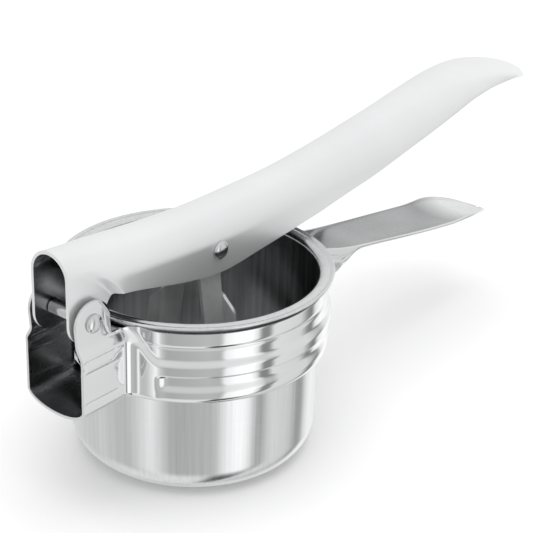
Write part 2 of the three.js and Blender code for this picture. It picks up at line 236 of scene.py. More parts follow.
# Noise read at a place scaled along x, y and z
def stretchedNoise(tree, place, stretch, scale, detail, roughness):
    mapping, noise = tree.nodes.new("ShaderNodeMapping"), tree.nodes.new("ShaderNodeTexNoise")
    mapping.inputs["Scale"].default_value = stretch
    noise.inputs["Scale"].default_value = scale
    noise.inputs["Detail"].default_value = detail
    noise.inputs["Roughness"].default_value = roughness
    tree.links.new(place, mapping.inputs["Vector"])
    tree.links.new(mapping.outputs["Vector"], noise.inputs["Vector"])
    return noise.outputs["Fac"]


# (distance from the Z axis, 0, z): noise read there runs in rings round the basket
def ringPlace(tree, place):
    flat, radius = tree.nodes.new("ShaderNodeVectorMath"), tree.nodes.new("ShaderNodeVectorMath")
    split, join = tree.nodes.new("ShaderNodeSeparateXYZ"), tree.nodes.new("ShaderNodeCombineXYZ")
    flat.operation, radius.operation = "MULTIPLY", "LENGTH"
    flat.inputs[1].default_value = (1, 1, 0)
    tree.links.new(place, flat.inputs[0])
    tree.links.new(flat.outputs["Vector"], radius.inputs[0])
    tree.links.new(place, split.inputs[0])
    tree.links.new(radius.outputs["Value"], join.inputs["X"])
    tree.links.new(split.outputs["Z"], join.inputs["Z"])
    return join.outputs["Vector"]


# Base colour: dark to light with the smears, and past a place along X a light grey, painted light on the
# inside towards the tips
def steelTint(tree, look, blotch, place):
    tint = tree.nodes.new("ShaderNodeValToRGB")
    first, last = tint.color_ramp.elements
    first.position, last.position = smear["low"], smear["high"]
    first.color, last.color = (*look["dark"], 1), (*look["light"], 1)
    tree.links.new(blotch, tint.inputs["Fac"])
    if "paintedLightFrom" not in look:
        return tint.outputs["Color"]
    along, reach = tree.nodes.new("ShaderNodeSeparateXYZ"), tree.nodes.new("ShaderNodeMapRange")
    blend = tree.nodes.new("ShaderNodeMix")
    reach.inputs["From Min"].default_value, reach.inputs["From Max"].default_value = look["paintedLightFrom"]
    blend.data_type = "RGBA"
    blend.inputs[7].default_value = (*smear["bright"], 1)
    tree.links.new(place, along.inputs[0])
    tree.links.new(along.outputs["X"], reach.inputs["Value"])
    tree.links.new(reach.outputs["Result"], blend.inputs[0])
    tree.links.new(tint.outputs["Color"], blend.inputs[6])
    return blend.outputs[2]


# Roughness: smears and finishing lines mixed by lineShare, spread over the look's range
def steelRoughness(tree, look, blotch, lines):
    both, spread = tree.nodes.new("ShaderNodeMix"), tree.nodes.new("ShaderNodeMapRange")
    both.inputs["Factor"].default_value = look["lineShare"]
    spread.inputs["From Min"].default_value = smear["low"]
    spread.inputs["From Max"].default_value = smear["high"]
    spread.inputs["To Min"].default_value, spread.inputs["To Max"].default_value = look["roughness"]
    tree.links.new(blotch, both.inputs["A"])
    tree.links.new(lines, both.inputs["B"])
    tree.links.new(both.outputs["Result"], spread.inputs["Value"])
    return spread.outputs["Result"]


def lineBump(tree, look, lines):
    bump = tree.nodes.new("ShaderNodeBump")
    bump.inputs["Strength"].default_value = look["bump"]
    bump.inputs["Distance"].default_value = look["bumpDepth"] * mm
    tree.links.new(lines, bump.inputs["Height"])
    return bump.outputs["Normal"]


# Stainless steel: a metal whose tint and roughness wander with soft smears, with fine lines in the bump
def steelMaterial(name, look):
    material = bpy.data.materials.new(name)
    material.use_nodes = True
    tree = material.node_tree
    shader = tree.nodes["Principled BSDF"]
    shader.inputs["Metallic"].default_value = look.get("metallic", 1.0)
    shader.inputs["Anisotropic"].default_value = look.get("anisotropic", 0.0)
    place = tree.nodes.new("ShaderNodeTexCoord").outputs["Object"]
    blotch = stretchedNoise(tree, place, look.get("blotchStretch", (1, 1, 1)), look["blotchScale"], 4, 0.5)
    linePlace = ringPlace(tree, place) if look.get("rings") else place
    lines = stretchedNoise(tree, linePlace, look["lineStretch"], 1, 5, 0.65)
    tree.links.new(steelTint(tree, look, blotch, place), shader.inputs["Base Color"])
    tree.links.new(steelRoughness(tree, look, blotch, lines), shader.inputs["Roughness"])
    tree.links.new(lineBump(tree, look, lines), shader.inputs["Normal"])
    return material


steel = {name: steelMaterial(f"{name}Steel", look) for name, look in steels.items()}
print("materials made:", len(steel))


basket = dict(
    height=63, wall=40.5, rim=45, sheet=0.8, corner=10, lip=2.0, segments=256,
    holeRadius=1.5, pitch=5.2, rings=5, holeSides=20,
    bead=0.4, grooveOut=0.9, grooveWidth=1.2, grooveDepth=0.25,  # rim edge, and the groove in the flange
)


# Outside from the axis up to the rolled rim edge, then down the inside: lines joined by arcs
def basketProfile(b):
    inside, low, top = b["wall"] - b["sheet"], b["corner"], b["height"]
    bendOut, bendIn, bead = b["lip"] - b["bead"], b["lip"] + b["bead"], b["bead"]
    flatEnd = b["wall"] - low - 4
    groove, width, floor = b["rim"] - b["grooveOut"], b["grooveWidth"], top - b["grooveDepth"]
    return np.vstack([
        [[0, 0], [flatEnd, 0]],
        arc((b["wall"] - low, low), low, -90, 0, 16),
        [[b["wall"], 25], [b["wall"], 45], [b["wall"], top - b["sheet"] - bendOut]],
        arc((b["wall"] + bendOut, top - b["sheet"] - bendOut), bendOut, 180, 90, 7)[1:],
        arc((b["rim"] - bead, top - bead), bead, -90, 90, 9),
        [[groove, top], [groove - 0.4, floor], [groove - 0.9, floor], [groove - width, top - 0.02]],
        arc((inside + bendIn, top - bendIn), bendIn, 90, 180, 10),
        [[inside, 45], [inside, 25]],
        arc((b["wall"] - low, low), low - b["sheet"], 0, -90, 16),
        [[flatEnd, b["sheet"]], [0, b["sheet"]]],
    ])


# Upright prisms on a hexagonal grid, x = pitch * (a + c / 2) and y = pitch * c * sqrt(3) / 2, all but the
# middle one, as one mesh
def holeCutter(b):
    steps = np.arange(-b["rings"], b["rings"] + 1)
    a, c = np.meshgrid(steps, steps)
    kept = (np.abs(a + c) <= b["rings"]) & ((a != 0) | (c != 0))
    x, y = b["pitch"] * (a + c / 2)[kept], b["pitch"] * c[kept] * math.sqrt(3) / 2
    n = b["holeSides"]
    angle = np.linspace(0, 2 * np.pi, n, endpoint=False)
    low = np.stack([b["holeRadius"] * np.cos(angle), b["holeRadius"] * np.sin(angle), 0 * angle - 1], -1)
    prism = np.vstack([low, low + [0, 0, 3]])
    points = (prism[None] + np.stack([x, y, 0 * x], -1)[:, None]).reshape(-1, 3)
    i = np.arange(n)
    sides = np.stack([i, (i + 1) % n, (i + 1) % n + n, i + n], -1)
    caps = np.stack([i[::-1], i + n])
    start = 2 * n * np.arange(len(x))[:, None, None]
    mesh = bpy.data.meshes.new("holes")
    faces = (sides + start).reshape(-1, 4).tolist() + (caps + start).reshape(-1, n).tolist()
    mesh.from_pydata((points * mm).tolist(), [], faces)
    cutter = bpy.data.objects.new("holes", mesh)
    bpy.context.scene.collection.objects.link(cutter)
    return cutter


# The turned cup, less the holes; faces that look at the axis or up from the floor take the darker inner steel,
# painted shade inside the cup
def makeBasket(b):
    piece = makeTurned("basket", basketProfile(b), b["segments"], "basket", "brushed_steel",
                       steel["brushed"], ["cup"])
    cutter = holeCutter(b)
    cut = piece.modifiers.new("holes", "BOOLEAN")
    cut.object, cut.operation, cut.solver = cutter, "DIFFERENCE", "EXACT"
    applyModifiers(piece)
    bpy.data.objects.remove(cutter)
    normal, centre = faceTable(piece, "normal"), faceTable(piece, "center") / mm
    underFlange = centre[:, 2] < b["height"] - b["sheet"]
    shadedWallInside = (centre[:, 2] > b["sheet"] / 2) & underFlange & ((normal[:, :2] * centre[:, :2]).sum(1) < 0)
    shadedFloorInside = (normal[:, 2] > 0.7) & (centre[:, 2] < 2 * b["corner"])
    setSecondMaterial(piece, shadedWallInside | shadedFloorInside, steel["inner"])


makeBasket(basket)
print("basket made")


# Bracket, collar and trough handle are one pressing. Pairs are where a change starts and ends.
lower = dict(
    sheet=0.95, edgeRadius=0.3, collar=43.2, top=60.1, spring=38.7, roll=2.8, hole=41.2,
    seatReach=1.8, seatRise=0.4, seatTurn=(-74, -66), seatEnd=(36, 42),
    bracketHalf=12.4, bracketEnd=-61.3, inset=2.1, sag=4.9, bracketFillet=5, handleFillet=3,
    earX=-54.8, earZ=66, earRadius=7, earRight=-47.4, earCurl=0.3, curlWidth=3.8,
    handleHalf=10.7, flare=1.5, flareAlong=(60, 125), tip=169.4, tipLength=26,
    handleStart=41, handleDeep=5, handleBlend=(38, 47),
    edge=[[41, 58], [52, 53.7], [60, 51.1], [68, 48.8], [84, 45.6], [132, 38], [148, 36.7], [160, 33.6],
          [170.5, 29.2]],
    floor=[[41, 36.6], [60, 38.6], [67, 39.4], [72, 41.6], [80, 43], [100, 40], [132, 34.8], [148, 32.6],
           [170.5, 28.2]],
    # heights of the step under the ear and of the rib's shoulder, and their half heights
    stepZ=57.9, stepHalf=2.3, shoulderZ=50.2, shoulderHalf=1.25, rib=1.3, collarTurn=(-75, -61),
    # the recess under the rib: steep top, gentle foot
    recessTop=(-46.2, -44.9), recessFoot=(-42.7, -39.8), recess=1.6, foot=0.7, recessTurn=(-63, -58),
    # pressed lines: height, half width, how far they stand out
    grooveLine=(55.3, 0.5, -0.34), bracketLines=[(53.4, 1.3, 0.25), (51.4, 0.4, -0.22), (41.4, 0.45, -0.22)],
    lineStart=(-61, -59.8), lineEnd=(-49, -45), ribFade=(66, 77),
    columns=dict(ear=22, end=4, fillet=14, collar=140, root=14, handle=38, tip=18),
    earRows=9, wallRows=66, rollRows=12,
)


# A pressed line across a wall: its height out times a bell over the level
def pressedLine(level, line):
    z, half, out = line
    return out * np.exp(-(((level - z) / half) ** 2))


# How far the wall stands out at a height. On the bracket it steps out under the ear and stays flat;
# onCollar moves that step down to the rib's shoulder, and pastEnd opens the recess under the rib.
def wallOffset(f, level, onCollar, pastEnd, lines):
    middle = f["stepZ"] + (f["shoulderZ"] - f["stepZ"]) * onCollar
    half = f["stepHalf"] + (f["shoulderHalf"] - f["stepHalf"]) * onCollar
    below = smoothstep(-level, -middle - half, half - middle)
    out = -f["inset"] * (1 - onCollar) + (f["inset"] + (f["rib"] - f["inset"]) * onCollar) * below
    foot = smoothstep(-level, *f["recessFoot"])
    out -= pastEnd * (f["recess"] * smoothstep(-level, *f["recessTop"]) * (1 - foot) + f["foot"] * foot)
    out += pressedLine(level, f["grooveLine"]) * np.maximum(onCollar, lines)
    return out + lines * sum(pressedLine(level, line) for line in f["bracketLines"])


# Half the handle's width: w * (1 - s^1.9)^0.62 over the tip, where s runs from 0 to 1
def handleWidth(f, x):
    full = f["handleHalf"] + f["flare"] * smoothstep(x, *f["flareAlong"])
    past = np.clip((x - f["tip"] + f["tipLength"]) / (f["tipLength"] + 0.12), 0, 1)
    return full * (1 - past**1.9) ** 0.62


# The near wall seen from above, bracket end to handle tip: straight, fillet, collar circle, fillet,
# straight. Gives x, y, the inward direction, and the turn round the basket from the near side in degrees.
def framePath(f):
    rb, rh, rc, n = f["bracketFillet"], f["handleFillet"], f["collar"], f["columns"]
    wb, wh = f["bracketHalf"], f["handleHalf"]
    filletX = -math.sqrt((rc + rb) ** 2 - (wb + rb) ** 2)
    rootX = math.sqrt((rc + rh) ** 2 - (wh + rh) ** 2)
    sweepB, sweepH = math.atan2(-filletX, wb + rb), math.atan2(rootX, wh + rh)
    x = np.r_[np.linspace(f["bracketEnd"], f["earRight"], n["ear"], endpoint=False),
              np.linspace(f["earRight"], filletX, n["end"], endpoint=False)]
    parts = [(x, 0 * x - wb, 0 * x, 0 * x + 1)]
    a = np.linspace(0, sweepB, n["fillet"], endpoint=False)
    parts.append((filletX + rb * np.sin(a), rb * np.cos(a) - wb - rb, np.sin(a), np.cos(a)))
    a = np.linspace(-sweepB, sweepH, n["collar"], endpoint=False)
    parts.append((rc * np.sin(a), -rc * np.cos(a), -np.sin(a), np.cos(a)))
    a = np.linspace(sweepH, 0, n["root"], endpoint=False)
    parts.append((rootX - rh * np.sin(a), rh * np.cos(a) - wh - rh, -np.sin(a), np.cos(a)))
    nose = f["tip"] - f["tipLength"]
    x = np.r_[np.linspace(rootX, nose, n["handle"], endpoint=False),
              nose + f["tipLength"] * np.sin(np.linspace(0, np.pi / 2, n["tip"]))]
    parts.append((x, -handleWidth(f, x), 0 * x, 0 * x + 1))
    x, y, inX, inY = (np.concatenate(column) for column in zip(*parts))
    return x, y, inX, inY, np.degrees(np.arctan2(x, -y))


# The bracket's free edge at shares of its length: up the end, round the ear and down its far side
def earOutline(f, share):
    centre, r = (f["earX"], f["earZ"]), f["earRadius"]
    line = np.vstack([
        [[f["bracketEnd"], f["top"]], [f["earX"] - r, f["earZ"]]],
        arc(centre, r, 180, -4, 60)[1:],
        [[f["earRight"], f["top"]]],
    ])
    length = np.r_[0, np.cumsum(np.hypot(*np.diff(line, axis=0).T))]
    return np.interp(share * length[-1], length, line[:, 0]), np.interp(share * length[-1], length, line[:, 1])


# Rows above the wall: over the bracket they rise to the ear's outline, whose far side curls inwards;
# round the collar they turn in by a quarter circle as the basket's seat
def earRows(f, x, wallX, wallY, turn, top):
    along = np.clip((x - f["bracketEnd"]) / (f["earRight"] - f["bracketEnd"]), 0, 1)
    outlineX, outlineZ = earOutline(f, along)
    onEar = (x <= f["earRight"]) & (x < 0)
    seat = smoothstep(turn, *f["seatTurn"]) * (1 - smoothstep(x, *f["seatEnd"]))
    share = np.linspace(1, 0, f["earRows"])[:-1, None]
    a = share * np.pi / 2
    keep = 1 - f["seatReach"] * seat * (1 - np.cos(a)) / np.hypot(wallX, wallY)
    px = np.where(onEar, x + (outlineX - x) * share, wallX * keep)
    curl = f["earCurl"] * smoothstep(px, f["earRight"] - f["curlWidth"], f["earRight"]) * share
    py = np.where(onEar, wallY + curl, wallY * keep)
    pz = np.where(onEar, top + (outlineZ - top) * share, top + f["seatRise"] * seat * np.sin(a))
    return np.stack([px, py, pz], -1)


# How far the pressing runs inwards under the wall: to the middle plane, or to the basket's hole
def reachInward(f, x, y, inX, inY):
    toMiddle = np.where(inY > 1e-3, -y / np.maximum(inY, 1e-3), 1e3)
    along = x * inX + y * inY
    inside = along**2 - (x * x + y * y - f["hole"] ** 2)
    root = -along - np.sqrt(np.maximum(inside, 0))
    return np.minimum(toMiddle, np.where((inside > 0) & (root > 0), root, 1e3))


# One half of the pressing. Rows run from the free top edge down the ribbed wall, z = top to spring, and
# then round under it by a quarter ellipse, inwards by the reach and down by the drop.
def frameSide(f, side):
    x, y, inX, inY, turn = framePath(f)
    onCollar, pastEnd = smoothstep(turn, *f["collarTurn"]), smoothstep(turn, *f["recessTurn"])
    inHandle = smoothstep(x, *f["handleBlend"])
    inBracket = smoothstep(-x, f["collar"] - 2, f["collar"] + 3)
    edge, floor = (through(f[key])(np.maximum(x, f["handleStart"])) for key in ("edge", "floor"))
    top = f["top"] + (edge - f["top"]) * inHandle
    handleDrop = np.minimum(edge - floor, f["handleDeep"])
    drop = f["roll"] + (f["sag"] - f["roll"]) * inBracket + (handleDrop - f["roll"]) * inHandle
    spring = f["spring"] + (floor + handleDrop - f["spring"]) * inHandle
    squeeze = 1 - 0.4 * smoothstep(x, 40, 56) + 0.08 * smoothstep(x, 58, 70)
    fade = 1 - smoothstep(x, *f["ribFade"])
    lines = smoothstep(x, *f["lineStart"]) * (1 - smoothstep(x, *f["lineEnd"]))

    def at(inward, z):
        return np.stack([x + inX * inward, y + inY * inward, z], -1)

    z = top + (spring - top) * np.linspace(0, 1, f["wallRows"])[:, None]
    out = wallOffset(f, f["top"] - (top - z) / squeeze, onCollar, pastEnd, lines) * fade
    above = earRows(f, x, x - inX * out[0], y - inY * out[0], turn, top)
    a = np.linspace(0, np.pi / 2, f["rollRows"])[1:, None]
    reach = reachInward(f, x, y, inX, inY) + out[-1]
    under = at(reach * (1 - np.cos(a)) - out[-1], spring - drop * np.sin(a))
    return np.concatenate([above, at(-out, z), under]) * [1, -side, 1]


# Both halves as one sheet, the far one with its faces turned; the seat under the basket's flange and the
# sheet's back faces take the darker inside steel, painted shade, which is painted light towards the handle's
# tip
def makeLowerFrame(f):
    near, far = frameSide(f, -1), frameSide(f, 1)
    rows, columns = near.shape[:2]
    faces = gridFaces(rows, columns)
    faces = np.vstack([faces, faces[:, ::-1] + rows * columns])
    points = np.vstack([near.reshape(-1, 3), far.reshape(-1, 3)])
    piece = makePiece("lowerFrame", points, faces, "frame", steel["polished"],
                      ["lower_frame"])
    mergeClose(piece)
    centre = faceTable(piece, "center") / mm
    seat = (centre[:, 2] > f["top"] + 0.01) & (centre[:, 0] > 2 - f["collar"])
    setSecondMaterial(piece, seat, steel["inside"])
    thicken(piece, f["sheet"], f["edgeRadius"], steel["inside"])


makeLowerFrame(lower)

# The wall that closes the basket's hole inside the bracket and inside the handle, all in the darker inside
# steel, painted shade
innerCollar = dict(
    radius=42.3, sheet=0.8, columns=30, straightTo=39.5,
    foot=[[42, 38.4], [41.6, 37.6], [41.3, 37.2]],  # radius, height
    arcs=[dict(name="collarInBracket", middle=180, half=17, top=58),
          dict(name="collarInHandle", middle=0, half=16, top=52)],
)


# A profile turned through a short arc: x = radius * cos(angle), y = radius * sin(angle)
def makeInnerCollar(c, part):
    angle = np.radians(np.linspace(part["middle"] - part["half"], part["middle"] + part["half"], c["columns"]))
    straight = np.linspace(part["top"], c["straightTo"], 12)
    profile = np.vstack([np.stack([0 * straight + c["radius"], straight], -1), c["foot"]])
    r, z = profile[:, :1], np.repeat(profile[:, 1:], c["columns"], 1)
    points = np.stack([r * np.cos(angle), r * np.sin(angle), z], -1).reshape(-1, 3)
    piece = makePiece(part["name"], points, gridFaces(len(profile), c["columns"]), "frame",
                      steel["inside"])
    mergeClose(piece)
    thicken(piece, c["sheet"], 0.2)


for part in innerCollar["arcs"]:
    makeInnerCollar(innerCollar, part)
print("lower frame made")


lever = dict(
    sheet=1.1, edgeRadius=0.3, tip=188.6, tipLength=34, neck=7.84, body=10.4, grip=13.4,
    archAlong=(-63, -42), gripAlong=(30, 140), pinX=-54.8, pinZ=66, lobe=7.28, neckLength=22,
    top=[[-63, 88.3], [-50, 87], [-20, 84.4], [0, 83.5], [20, 83.7], [42, 84.4], [66, 86.6], [91, 89.7],
         [118, 93.4], [139, 95.1], [154, 94.7], [166, 92.8], [178, 89.3], [191.5, 82.6]],
    edge=[[-44.4, 71.4], [-37, 70.2], [-15, 65.2], [2, 62.9], [20, 64.4], [48, 67.6], [64, 70.4],
          [80, 73.2], [98, 77.4], [112, 80.6], [127, 84.2], [139, 87], [155, 88.4], [170, 87],
          [191.5, 80.8]],
    crease=[[-63, 82], [-58, 81.9], [-53, 80.9], [-49.5, 79], [-46.5, 76.2], [-43.5, 72.6], [-40.5, 68.5]],
    stations=dict(hinge=44, neck=44, run=170, nose=60), wallRows=26, archRows=28,
)


# The lower edge: z = pin - sqrt(lobe^2 - dx^2) round the hinge pin, a step behind the ear that rises as a
# square root, then the curve through the edge points
def leverEdge(v, x):
    dx = x - v["pinX"]
    lobe = v["pinZ"] - np.sqrt(np.maximum(v["lobe"] ** 2 - dx**2, 0))
    startX, startZ = v["edge"][0]
    share = np.clip((dx - v["lobe"]) / (startX - v["pinX"] - v["lobe"]), 0, 1)
    step = v["pinZ"] + (startZ - v["pinZ"]) * np.sqrt(share)
    return np.where(dx <= v["lobe"], lobe, np.where(x < startX, step, through(v["edge"])(x)))


# The arch widens from the hinge on, to the grip, and closes at the tip as w * (1 - s^2)^0.58. Under the
# crease the wall stays narrow, to pass between the ears.
def leverHalfWidth(v, x, z):
    arch = v["neck"] + (v["body"] - v["neck"]) * smoothstep(x, *v["archAlong"])
    under = through(v["crease"])(np.minimum(x, v["crease"][-1][0])) - z
    narrow = smoothstep(under, -0.8, 2.2 + 0.1 * np.clip(x + 62, 0, 24)) * (x < -36)
    grip = (v["grip"] - v["body"]) * smoothstep(x, *v["gripAlong"])
    past = np.maximum(x - (v["tip"] - v["tipLength"]), 0) / (v["tipLength"] + 0.25)
    return (arch - (arch - v["neck"]) * narrow + grip) * (1 - past**2) ** 0.58


# Places along the lever, close together round the hinge, behind the ear and at the tip
def leverStations(v):
    n, noseX = v["stations"], v["tip"] - v["tipLength"]
    hinge = v["pinX"] - v["lobe"] * np.cos(np.linspace(0, np.pi, n["hinge"], endpoint=False))
    share = np.linspace(0, 1, n["neck"], endpoint=False) ** 1.5
    neck = v["pinX"] + v["lobe"] + (v["neckLength"] - v["lobe"]) * share
    run = np.linspace(neck[-1] + 1, noseX, n["run"], endpoint=False)
    nose = noseX + v["tipLength"] * np.sin(np.linspace(0, np.pi / 2, n["nose"]))
    return np.concatenate([hinge, neck, run, nose])[:, None]


# An inverted channel: up the near wall, over an elliptical arch, z = crown - h + h * sin(angle) and
# y = w * cos(angle), and down the far wall, carried along X
def makeLever(v):
    x = leverStations(v)
    crown, low = through(v["top"])(x), leverEdge(v, x)
    depth = np.maximum(crown - low, 0.4)
    archHeight = np.minimum(leverHalfWidth(v, x, crown), depth)
    angle = np.linspace(0, np.pi / 2, v["archRows"])[None]
    zWall = low + np.linspace(0, 1, v["wallRows"], endpoint=False)[None] * (depth - archHeight)
    z = np.hstack([zWall, crown - archHeight + archHeight * np.sin(angle)])
    y = leverHalfWidth(v, x, z) * np.hstack([np.ones_like(zWall), np.cos(angle) + 0 * x])
    y, z = np.hstack([-y, y[:, -2::-1]]), np.hstack([z, z[:, -2::-1]])
    points = np.stack([x + 0 * y, y, z], -1).reshape(-1, 3)
    piece = makePiece("upperLever", points, gridFaces(*y.shape), "lever", steel["satin"],
                      ["upper_lever"])
    mergeClose(piece)
    turnOver(piece, (0, 0, 1))
    # its inner faces take the darker inside steel, painted shade under the channel and painted light near the
    # tip
    thicken(piece, v["sheet"], v["edgeRadius"], steel["inside"])


makeLever(lever)
print("lever made")


pins = dict(
    hinge=dict(
        x=-54.8, z=66, shaft=2.0, head=3.0, dome=1.8, face=10.25, washer=4.5, washerFrom=7.95,
        washerTo=8.95, tube=2.6, tubeHalf=6.44, tubeName="hingeSpacer", tubeNode="hinge_spacer",
        body="frame", looseBody="frame",
    ),
    plunger=dict(
        x=0.4, z=71.0, shaft=1.8, head=3.1, dome=1.6, face=10.45, washer=3.6, washerFrom=7.5,
        washerTo=9.0, tube=2.9, tubeHalf=5.7, tubeName="plungerSleeve", tubeNode="plunger_sleeve",
        body="lever", looseBody="plunger",
    ),
)


# A shaft with a shallow peened dome on each end: head * cos(a) out and dome * sin(a) up, axis to axis
def domeProfile(p, rim=0.35, corner=0.12):
    a = np.radians(np.linspace(0, 90, 14))
    cap = np.stack([p["head"] * np.cos(a), p["face"] + rim + (p["dome"] - rim) * np.sin(a)], -1)
    under = [[p["shaft"], p["face"]], [p["head"] - corner, p["face"]], [p["head"], p["face"] + corner]]
    half = np.vstack([under, cap])
    return np.vstack([half[::-1] * [1, -1], half])


# A tube's closed section with softened outer corners
def ringProfile(inner, outer, low, high, soft=0.15):
    return [[inner, low], [outer - soft, low], [outer, low + soft],
            [outer, high - soft], [outer - soft, high], [inner, high]]


def makePins(key, p):
    common = dict(slot="rivet_steel", material=steel["rivet"], axis="y", centre=(p["x"], 0, p["z"]))
    makeTurned(f"{key}Rivet", domeProfile(p), 64, p["body"], replaces=[f"{key}_rivet"], **common)
    bore = p["shaft"] + 0.05
    for word, side in (("near", -1), ("far", 1)):
        low, high = sorted((side * p["washerFrom"], side * p["washerTo"]))
        makeTurned(f"{key}Washer_{word}", ringProfile(bore, p["washer"], low, high), 64, p["body"],
                   replaces=[f"{key}_washer_{word}"], closed=True, **common)
    makeTurned(p["tubeName"], ringProfile(bore, p["tube"], -p["tubeHalf"], p["tubeHalf"]), 64,
               p["looseBody"], replaces=[p["tubeNode"]], closed=True, **common)


for key, p in pins.items():
    makePins(key, p)
print("rivets made")


plunger = dict(
    pinZ=71, legX=-1.0, width=9.2, sheet=1.2, inner=6, bend=64.5, splay=8,
    flange=4.2, flangeAlong=(-54, -48), foot=8.7, footInner=3.6, webColumns=12,
    plateX=-1.0, plate=33.8, plateZ=6, plateSheet=1.2, lip=2.5, corner=1.4,
    footHead=1.9, footShaft=1, footDome=0.9, footSpread=4.6, footRivetY=7.6,
)


# A strip that runs down from the pin, splays outwards and turns in as a foot, with a flange along one
# edge. Its outline is an L seen from above, carried down the strip; the far leg is the same turned half
# round.
def makeLeg(q, word, side):
    half, count = q["width"] / 2, q["webColumns"]
    z = np.concatenate([
        q["pinZ"] + half * np.sin(np.linspace(np.pi / 2, 0, 16, endpoint=False)),
        np.linspace(q["pinZ"], q["bend"], 8, endpoint=False),
        np.linspace(q["bend"], q["foot"] + 0.2, 60),
    ])[:, None]
    width = np.maximum(np.sqrt(half**2 - np.clip(z - q["pinZ"], 0, half) ** 2), 0.6)
    face = q["inner"] + q["sheet"] + math.tan(math.radians(q["splay"])) * np.maximum(q["bend"] - z, 0)
    across, out = np.linspace(-1, 1, count)[None], np.linspace(0, 1, 6)[1:][None]
    flange = q["flange"] * smoothstep(-z, *q["flangeAlong"])
    web = np.stack([across * width, face + 0 * across, z + 0 * across], -1)
    wing = np.stack([width + 0 * out, face + flange * out, z + 0 * out], -1)
    grid = np.concatenate([web, wing], 1)
    turnIn = np.linspace(1, 0, 8)[1:, None]
    low = q["footInner"] + (face[-1] - q["footInner"]) * turnIn + 0 * across
    foot = np.stack([across * width[-1] + 0 * low, low, 0 * low + q["foot"] - 0.1], -1)
    points = np.vstack([grid.reshape(-1, 3), foot.reshape(-1, 3)])
    rows, columns = grid.shape[:2]
    start = rows * columns
    last, first = start - columns + np.arange(count), start + np.arange(count)
    joint = np.stack([last[:-1], last[1:], first[1:], first[:-1]], -1)
    faces = np.vstack([gridFaces(rows, columns), gridFaces(*foot.shape[:2]) + start, joint])
    piece = makePiece(f"plungerLeg_{word}", points * [-side, side, 1] + [q["legX"], 0, 0], faces,
                      "plunger", steel["plunger"], [f"plunger_leg_{word}"])
    mergeClose(piece)
    turnOver(piece, (0, side, 0))
    thicken(piece, q["sheet"], 0.25)


# A disc with a turned-up edge: lines joined by arcs, turned round the upright axis
def makePressPlate(q):
    r, z, t, c = q["plate"], q["plateZ"], q["plateSheet"], q["corner"]
    flatEnd = r - c - 3
    profile = np.vstack([
        [[0, z], [flatEnd, z]],
        arc((r - c, z + c), c, -90, 0, 8),
        arc((r - t / 2, z + q["lip"] - t / 2), t / 2, 0, 180, 9),
        arc((r - c - 0.2, z + c + 0.2), c + 0.2 - t, 0, -90, 6),
        [[flatEnd, z + t], [0, z + t]],
    ])
    makeTurned("pressPlate", profile, 192, "plunger", "plunger_steel", steel["plunger"], ["press_plate"],
               centre=(q["plateX"], 0, 0))


# A flat tail under the plate, a shaft, and a dome on the foot
def makeFootRivets(q, word, side):
    a = np.radians(np.linspace(0, 90, 8))
    top, under, head, shaft = q["foot"] - 0.05, q["plateZ"], q["footHead"], q["footShaft"]
    profile = np.vstack([
        [[0, under - 0.5], [head - 0.2, under - 0.5], [head, under - 0.3], [head, under]],
        [[shaft, under], [shaft, top], [head, top]],
        np.stack([head * np.cos(a), top + 0.2 + q["footDome"] * np.sin(a)], -1),
    ])
    for number, step in ((1, -0.5), (2, 0.5)):
        centre = (q["legX"] + step * q["footSpread"], side * q["footRivetY"], 0)
        makeTurned(f"footRivet_{word}_{number}", profile, 32, "plunger", "rivet_steel", steel["rivet"],
                   [f"foot_rivet_{word}_{number}"], centre=centre)


for word, side in (("near", -1), ("far", 1)):
    makeLeg(plunger, word, side)
makePressPlate(plunger)
for word, side in (("near", -1), ("far", 1)):
    makeFootRivets(plunger, word, side)
print("plunger made")


view = dict(azimuth=-50.5, elevation=25.76, roll=1.78, distance=0.5318, focal=105.556,
            aim=(0.03613, 0, 0.04914))
studio = dict(
    floorSize=6.0, floorColour=(0.98, 0.98, 0.98), keyPower=11, keySize=1.6, keyPlace=(0.1, -0.1, 1.5),
    # bright panels and dark strips round the horizon: [degrees, brightness]
    round=[
        [0, 1.2], [40, 0.8], [95, 0.8], [113, 0.7], [125, 0.8], [155, 0.6], [163, 0.65], [172, 0.9],
        [184, 1.15], [190, 0.9], [200, 0.5], [234, 0.6], [245, 0.55], [249, 1.1], [262, 1.35],
        [270, 1.45], [278, 1.0], [282, 0.3], [289, 0.3], [294, 0.9], [325, 0.8], [336, 0.3],
        [342, 0.25], [349, 1.0],
    ],
    # a dark patch low down, which the undersides of the ribs mirror: [degrees, brightness]
    low=[[0, 0.9], [60, 0.7], [120, 0.9], [238, 0.95], [246, 0.03], [278, 0.03], [284, 1.0], [330, 0.6]],
    # from straight down to straight up: [degrees, brightness, share of round, share of low]
    up=[
        [-90, 0.8, 0.0, 0.0], [-84, 0.85, 0.1, 0.9], [-62, 0.85, 0.3, 1.0], [-50, 0.85, 0.8, 0.5],
        [-42, 0.85, 1.0, 0.0], [-12, 0.9, 1.0, 0.0], [0, 0.8, 0.6, 0.0], [12, 0.85, 0.4, 0.0],
        [30, 0.88, 0.2, 0.0], [60, 0.86, 0.0, 0.0], [90, 0.84, 0.0, 0.0],
    ],
    brightest=1.5,  # a ramp holds 0 to 1, so brightness is stored as a share of this
)


# A ramp of greys through [place from 0 to 1, value] stops
def greyRamp(tree, where, stops):
    node = tree.nodes.new("ShaderNodeValToRGB")
    ramp = node.color_ramp
    ramp.interpolation = "LINEAR"
    first, last = ramp.elements
    first.position, last.position = stops[0][0], stops[-1][0]
    first.color, last.color = (*[stops[0][1]] * 3, 1), (*[stops[-1][1]] * 3, 1)
    for place, value in stops[1:-1]:
        ramp.elements.new(place).color = (value, value, value, 1)
    tree.links.new(where, node.inputs["Fac"])
    return node.outputs["Color"]


